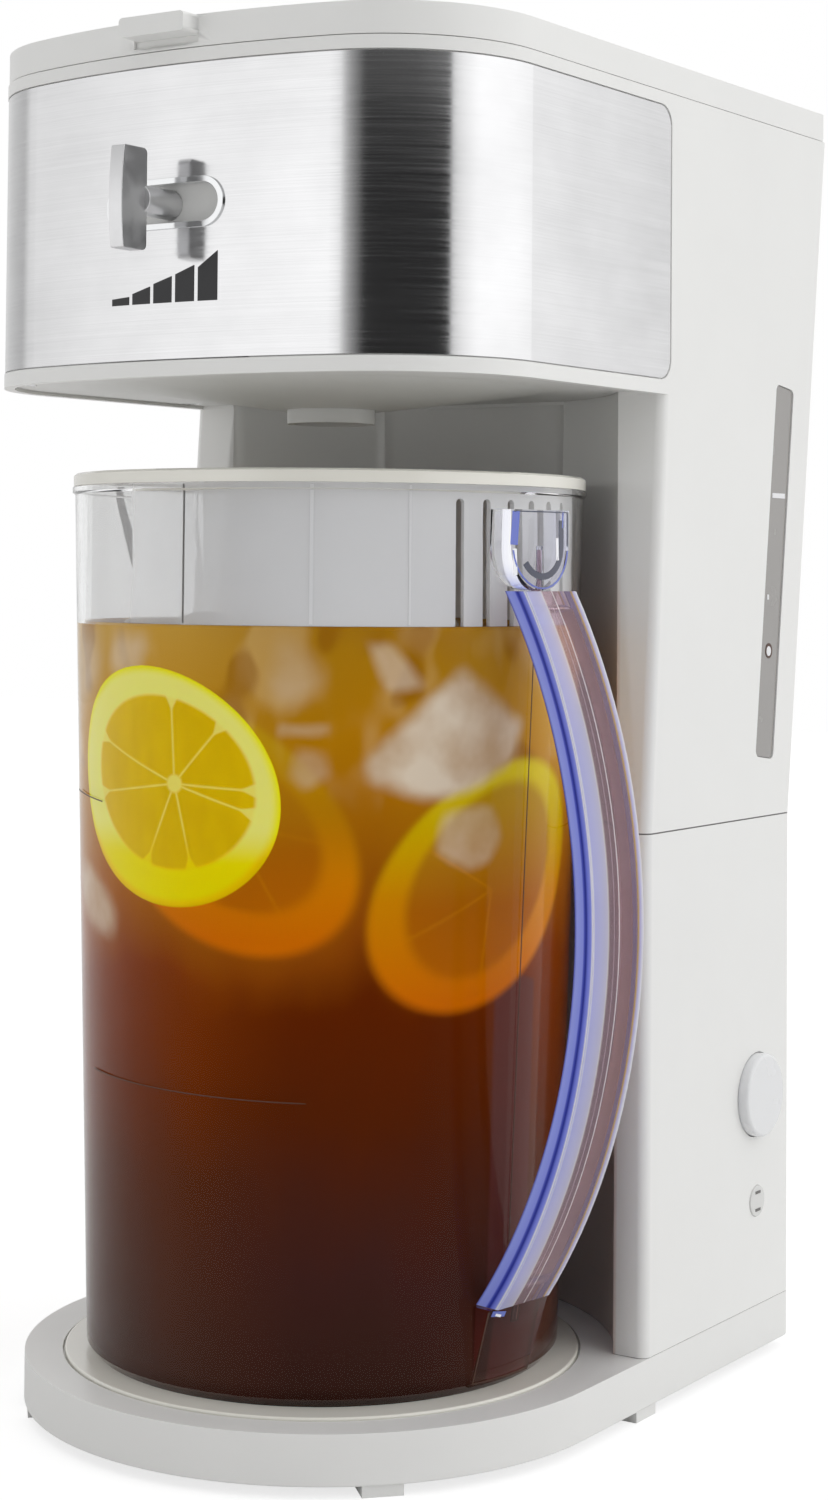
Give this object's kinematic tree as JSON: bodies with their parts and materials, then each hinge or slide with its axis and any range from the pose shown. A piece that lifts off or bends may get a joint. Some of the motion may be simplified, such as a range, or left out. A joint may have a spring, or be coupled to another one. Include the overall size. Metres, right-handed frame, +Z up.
{
  "type": "iced tea maker",
  "caption": "Iced tea maker with a leaning water tank tower, steel-banded brewing head, strength selector and a clear lidded pitcher on a round base.",
  "frame": {"origin": "middle of the whole machine's box, on the table plane; the pitcher axis stands 11.1 mm to the left and 28.0 mm in front of it", "axes": "+X to the machine's right, where the pitcher's handle and the button are; +Y to its back; +Z up"},
  "size_m": [0.1924, 0.251, 0.3833],
  "materials": {
    "white_plastic": "satin white moulded plastic",
    "base_plastic": "satin white moulded plastic",
    "grey_plastic": "matt light grey plastic",
    "cream_plastic": "matt cream plastic",
    "rubber_feet": "soft white rubber",
    "gland_rubber": "soft pale rubber",
    "hose_rubber": "soft clear grey rubber",
    "steel": "bright plated steel",
    "band_steel": "stainless steel brushed from side to side",
    "trim_chrome": "bright plated trim",
    "knob_plastic": "glossy pale grey plastic",
    "mesh_brass": "fine gold-coloured mesh",
    "fuse_brass": "plain brass",
    "tank_plastic": "translucent white plastic",
    "window_plastic": "smoky translucent plastic",
    "float_plastic": "white plastic",
    "heater_aluminium": "plain aluminium",
    "black_plastic": "matt black plastic",
    "lamp_red": "red translucent plastic",
    "clear_glass": "clear moulded pitcher wall",
    "handle_clear": "clear moulded handle",
    "frosted_plastic": "translucent white strainer skirt"
  },
  "bodies": {
    "machine": {"base_shell": "base_plastic", "base_cover": "grey_plastic", "feet": "rubber_feet", "base_screws": "steel", "pitcher_rest": "cream_plastic", "lower_tower_shell": "white_plastic", "tower_screws": "steel", "rear_cover": "white_plastic", "rear_cover_screws": "steel", "cord_gland": "gland_rubber", "upper_housing": "white_plastic", "housing_screws": "steel", "steel_front_band": "band_steel", "slot_trim": "trim_chrome", "head_bottom_cover": "grey_plastic", "head_screws": "steel", "drip_outlet": "grey_plastic", "brew_bowl": "grey_plastic", "water_tank": "tank_plastic", "tank_window": "window_plastic", "lid_hinge_pins": "steel", "heater_pipe": "heater_aluminium", "heater_bracket": "heater_aluminium", "thermostat": "black_plastic", "thermal_fuse": "fuse_brass", "inlet_hose": "hose_rubber", "check_valve": "grey_plastic", "outlet_hose": "hose_rubber", "riser_tube": "grey_plastic", "button_spring": "steel", "switch_body": "black_plastic", "switch_bracket": "grey_plastic", "indicator_lens": "window_plastic", "indicator_lamp": "lamp_red"},
    "top_lid": {"lid": "white_plastic", "lid_spray_tray": "grey_plastic"},
    "strength_selector": {"strength_knob": "knob_plastic", "strength_gate": "grey_plastic"},
    "button": {"power_button": "knob_plastic"},
    "pitcher": {"pitcher_body": "clear_glass", "pitcher_handle": "handle_clear"},
    "pitcher_cap": {"pitcher_lid": "cream_plastic", "lid_strainer_skirt": "frosted_plastic"},
    "basket": {"brew_basket": "cream_plastic", "basket_filter": "mesh_brass"},
    "water_float": {"gauge_float": "float_plastic"}
  },
  "joints": [
    {"name": "lid_hinge", "type": "hinge", "parent": "machine", "child": "top_lid", "pos_m": [-0.01111, 0.12246, 0.3786], "axis": [-1, 0, 0], "range_deg": [0, 100]},
    {"name": "strength_turn", "type": "hinge", "parent": "machine", "child": "strength_selector", "pos_m": [-0.01111, 0.11404, 0.3334], "axis": [0, 0, 1], "range_deg": [-3.5, 3.5]},
    {"name": "power_press", "type": "slide", "parent": "machine", "child": "button", "axis": [-1, 0, 0], "range_m": [0, 0.0025], "stiffness_N_per_m": 400, "deforming": ["button_spring"]},
    {"name": "pitcher_slide", "type": "slide", "parent": "machine", "child": "pitcher", "axis": [0, -1, 0], "range_m": [0, 0.24]},
    {"name": "pitcher_lid_turn", "type": "hinge", "parent": "pitcher", "child": "pitcher_cap", "pos_m": [-0.01111, -0.02796, 0.26], "axis": [0, 0, 1], "continuous": true},
    {"name": "basket_lift", "type": "slide", "parent": "machine", "child": "basket", "axis": [0, 0, 1], "range_m": [0, 0.01]},
    {"name": "float_rise", "type": "slide", "parent": "machine", "child": "water_float", "axis": [0, 0.121, 0.9927], "range_m": [0, 0.07]}
  ]
}
